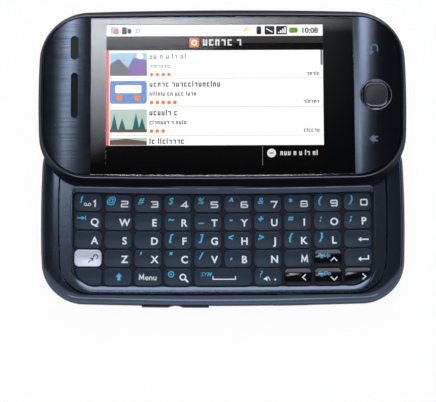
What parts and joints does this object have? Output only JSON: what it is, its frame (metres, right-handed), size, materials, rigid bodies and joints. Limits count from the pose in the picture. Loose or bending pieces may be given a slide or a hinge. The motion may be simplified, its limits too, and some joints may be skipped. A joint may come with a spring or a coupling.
{
  "type": "slider phone",
  "caption": "Landscape slider phone, slid open: a touch-screen lid over a base with a full letter keyboard.",
  "frame": {"origin": "centre of the base's flat back, where it lies on a table", "axes": "+X along the phone to the navigation button's end, +Y from the keyboard towards the lid, +Z out of the screen"},
  "size_m": [0.109, 0.0882, 0.0159],
  "materials": {
    "audio_jack": "moulded",
    "backspace_key": "satin, dark slate",
    "battery": "drawn",
    "battery_cover": "satin, slate blue",
    "blank_corner_key": "satin, dark slate",
    "board_shield": "plain",
    "camera_key": "satin, slate blue",
    "camera_module": "moulded",
    "camera_window": "polished",
    "card_holder": "plain",
    "digit_keys_1_to_5": "satin, dark slate",
    "digit_keys_6_to_0": "satin, dark slate",
    "display_module": "polished",
    "dome_sheet": "stamped",
    "down_arrow_key": "satin, dark slate",
    "earpiece_mesh": "woven",
    "earpiece_panel": "brushed, blue grey",
    "enter_key": "satin, dark slate",
    "flash_lamp": "moulded",
    "flex_cable": "polyimide",
    "front_frame": "satin, slate blue",
    "full_stop_key": "satin, dark slate",
    "function_key": "satin, silver white",
    "housing_screws": "plain",
    "key_lattice": "satin",
    "key_mat": "matt",
    "keyboard_panel": "satin, slate blue",
    "left_arrow_key": "satin, dark slate",
    "letter_keys_a_to_g": "satin, dark slate",
    "letter_keys_b_to_m": "satin, dark slate",
    "letter_keys_h_to_l": "satin, dark slate",
    "letter_keys_q_to_t": "satin, dark slate",
    "letter_keys_y_to_p": "satin, dark slate",
    "letter_keys_z_to_v": "satin, dark slate",
    "lid_back": "high gloss black",
    "lid_board": "solder resist",
    "lid_frame": "high gloss black",
    "loudspeaker": "moulded",
    "main_board": "solder resist",
    "menu_key": "satin, dark slate",
    "nav_button": "dark satin",
    "nav_panel": "brushed, blue grey",
    "nav_ring": "high gloss black",
    "power_key": "satin, slate blue",
    "rear_housing": "satin, slate blue",
    "receiver": "moulded",
    "right_arrow_key": "satin, dark slate",
    "search_key": "satin, dark slate",
    "sensor_window": "polished",
    "shift_key": "satin, dark slate",
    "side_switches": "plain",
    "slide_bracket": "plain",
    "slide_plate": "plain",
    "space_bar": "satin, dark slate",
    "touch_window": "polished",
    "up_arrow_key": "satin, dark slate",
    "usb_cover": "satin, slate blue",
    "usb_port": "plain",
    "vibration_motor": "drawn",
    "volume_rocker": "satin, slate blue"
  },
  "bodies": {
    "base": {"audio_jack": "audio_jack", "battery": "battery", "board_shield": "board_shield", "camera_module": "camera_module", "camera_window": "camera_window", "card_holder": "card_holder", "dome_sheet": "dome_sheet", "flash_lamp": "flash_lamp", "flex_cable": "flex_cable", "front_frame": "front_frame", "housing_screws": "housing_screws", "key_lattice": "key_lattice", "key_mat": "key_mat", "keyboard_panel": "keyboard_panel", "loudspeaker": "loudspeaker", "main_board": "main_board", "rear_housing": "rear_housing", "side_switches": "side_switches", "slide_bracket": "slide_bracket", "usb_port": "usb_port", "vibration_motor": "vibration_motor"},
    "lid": {"lid_back": "lid_back", "slide_plate": "slide_plate", "lid_frame": "lid_frame", "lid_board": "lid_board", "display_module": "display_module", "touch_window": "touch_window", "earpiece_panel": "earpiece_panel", "earpiece_mesh": "earpiece_mesh", "sensor_window": "sensor_window", "receiver": "receiver", "nav_panel": "nav_panel", "nav_ring": "nav_ring"},
    "nav_button": {"nav_button": "nav_button"},
    "backspace_key": {"backspace_key": "backspace_key"},
    "blank_corner_key": {"blank_corner_key": "blank_corner_key"},
    "digit_keys_1_to_5": {"digit_keys_1_to_5": "digit_keys_1_to_5"},
    "digit_keys_6_to_0": {"digit_keys_6_to_0": "digit_keys_6_to_0"},
    "down_arrow_key": {"down_arrow_key": "down_arrow_key"},
    "enter_key": {"enter_key": "enter_key"},
    "full_stop_key": {"full_stop_key": "full_stop_key"},
    "function_key": {"function_key": "function_key"},
    "left_arrow_key": {"left_arrow_key": "left_arrow_key"},
    "letter_keys_a_to_g": {"letter_keys_a_to_g": "letter_keys_a_to_g"},
    "letter_keys_b_to_m": {"letter_keys_b_to_m": "letter_keys_b_to_m"},
    "letter_keys_h_to_l": {"letter_keys_h_to_l": "letter_keys_h_to_l"},
    "letter_keys_q_to_t": {"letter_keys_q_to_t": "letter_keys_q_to_t"},
    "letter_keys_y_to_p": {"letter_keys_y_to_p": "letter_keys_y_to_p"},
    "letter_keys_z_to_v": {"letter_keys_z_to_v": "letter_keys_z_to_v"},
    "menu_key": {"menu_key": "menu_key"},
    "right_arrow_key": {"right_arrow_key": "right_arrow_key"},
    "search_key": {"search_key": "search_key"},
    "shift_key": {"shift_key": "shift_key"},
    "space_bar": {"space_bar": "space_bar"},
    "up_arrow_key": {"up_arrow_key": "up_arrow_key"},
    "battery_cover": {"battery_cover": "battery_cover"},
    "usb_cover": {"usb_cover": "usb_cover"},
    "volume_rocker": {"volume_rocker": "volume_rocker"},
    "camera_key": {"camera_key": "camera_key"},
    "power_key": {"power_key": "power_key"}
  },
  "joints": [
    {"name": "lid_slide", "type": "slide", "parent": "base", "child": "lid", "axis": [0, -1, 0], "range_m": [0, 0.034], "deforming": ["flex_cable"]},
    {"name": "backspace_key_press", "type": "slide", "parent": "base", "child": "backspace_key", "axis": [0, 0, -1], "range_m": [0, 0.00025], "stiffness_N_per_m": 100},
    {"name": "blank_corner_key_press", "type": "slide", "parent": "base", "child": "blank_corner_key", "axis": [0, 0, -1], "range_m": [0, 0.00025], "stiffness_N_per_m": 100},
    {"name": "digit_keys_1_to_5_press", "type": "slide", "parent": "base", "child": "digit_keys_1_to_5", "axis": [0, 0, -1], "range_m": [0, 0.00025], "stiffness_N_per_m": 500},
    {"name": "digit_keys_6_to_0_press", "type": "slide", "parent": "base", "child": "digit_keys_6_to_0", "axis": [0, 0, -1], "range_m": [0, 0.00025], "stiffness_N_per_m": 500},
    {"name": "down_arrow_key_press", "type": "slide", "parent": "base", "child": "down_arrow_key", "axis": [0, 0, -1], "range_m": [0, 0.00025], "stiffness_N_per_m": 100},
    {"name": "enter_key_press", "type": "slide", "parent": "base", "child": "enter_key", "axis": [0, 0, -1], "range_m": [0, 0.00025], "stiffness_N_per_m": 100},
    {"name": "full_stop_key_press", "type": "slide", "parent": "base", "child": "full_stop_key", "axis": [0, 0, -1], "range_m": [0, 0.00025], "stiffness_N_per_m": 100},
    {"name": "function_key_press", "type": "slide", "parent": "base", "child": "function_key", "axis": [0, 0, -1], "range_m": [0, 0.00025], "stiffness_N_per_m": 100},
    {"name": "left_arrow_key_press", "type": "slide", "parent": "base", "child": "left_arrow_key", "axis": [0, 0, -1], "range_m": [0, 0.00025], "stiffness_N_per_m": 100},
    {"name": "letter_keys_a_to_g_press", "type": "slide", "parent": "base", "child": "letter_keys_a_to_g", "axis": [0, 0, -1], "range_m": [0, 0.00025], "stiffness_N_per_m": 400},
    {"name": "letter_keys_b_to_m_press", "type": "slide", "parent": "base", "child": "letter_keys_b_to_m", "axis": [0, 0, -1], "range_m": [0, 0.00025], "stiffness_N_per_m": 400},
    {"name": "letter_keys_h_to_l_press", "type": "slide", "parent": "base", "child": "letter_keys_h_to_l", "axis": [0, 0, -1], "range_m": [0, 0.00025], "stiffness_N_per_m": 400},
    {"name": "letter_keys_q_to_t_press", "type": "slide", "parent": "base", "child": "letter_keys_q_to_t", "axis": [0, 0, -1], "range_m": [0, 0.00025], "stiffness_N_per_m": 400},
    {"name": "letter_keys_y_to_p_press", "type": "slide", "parent": "base", "child": "letter_keys_y_to_p", "axis": [0, 0, -1], "range_m": [0, 0.00025], "stiffness_N_per_m": 400},
    {"name": "letter_keys_z_to_v_press", "type": "slide", "parent": "base", "child": "letter_keys_z_to_v", "axis": [0, 0, -1], "range_m": [0, 0.00025], "stiffness_N_per_m": 400},
    {"name": "menu_key_press", "type": "slide", "parent": "base", "child": "menu_key", "axis": [0, 0, -1], "range_m": [0, 0.00025], "stiffness_N_per_m": 100},
    {"name": "right_arrow_key_press", "type": "slide", "parent": "base", "child": "right_arrow_key", "axis": [0, 0, -1], "range_m": [0, 0.00025], "stiffness_N_per_m": 100},
    {"name": "search_key_press", "type": "slide", "parent": "base", "child": "search_key", "axis": [0, 0, -1], "range_m": [0, 0.00025], "stiffness_N_per_m": 100},
    {"name": "shift_key_press", "type": "slide", "parent": "base", "child": "shift_key", "axis": [0, 0, -1], "range_m": [0, 0.00025], "stiffness_N_per_m": 100},
    {"name": "space_bar_press", "type": "slide", "parent": "base", "child": "space_bar", "axis": [0, 0, -1], "range_m": [0, 0.00025], "stiffness_N_per_m": 100},
    {"name": "up_arrow_key_press", "type": "slide", "parent": "base", "child": "up_arrow_key", "axis": [0, 0, -1], "range_m": [0, 0.00025], "stiffness_N_per_m": 100},
    {"name": "nav_button_press", "type": "slide", "parent": "lid", "child": "nav_button", "axis": [0, 0, -1], "range_m": [0, 0.00035], "stiffness_N_per_m": 200},
    {"name": "volume_rocker_tilt", "type": "hinge", "parent": "base", "child": "volume_rocker", "pos_m": [-0.0141, -0.0255, 0.0039], "axis": [0, 0, 1], "range_deg": [-1.5, 1.5], "stiffness_Nm_per_rad": 0.05},
    {"name": "camera_key_press", "type": "slide", "parent": "base", "child": "camera_key", "axis": [0, -1, 0], "range_m": [0, 0.0004], "stiffness_N_per_m": 200},
    {"name": "power_key_press", "type": "slide", "parent": "base", "child": "power_key", "axis": [1, 0, 0], "range_m": [0, 0.0004], "stiffness_N_per_m": 200},
    {"name": "battery_cover_slide", "type": "slide", "parent": "base", "child": "battery_cover", "axis": [1, 0, 0], "range_m": [0, 0.005]},
    {"name": "usb_cover_hinge", "type": "hinge", "parent": "base", "child": "usb_cover", "pos_m": [0.015, -0.02702, 0.0039], "axis": [0, 0, -1], "range_deg": [0, 100]}
  ]
}
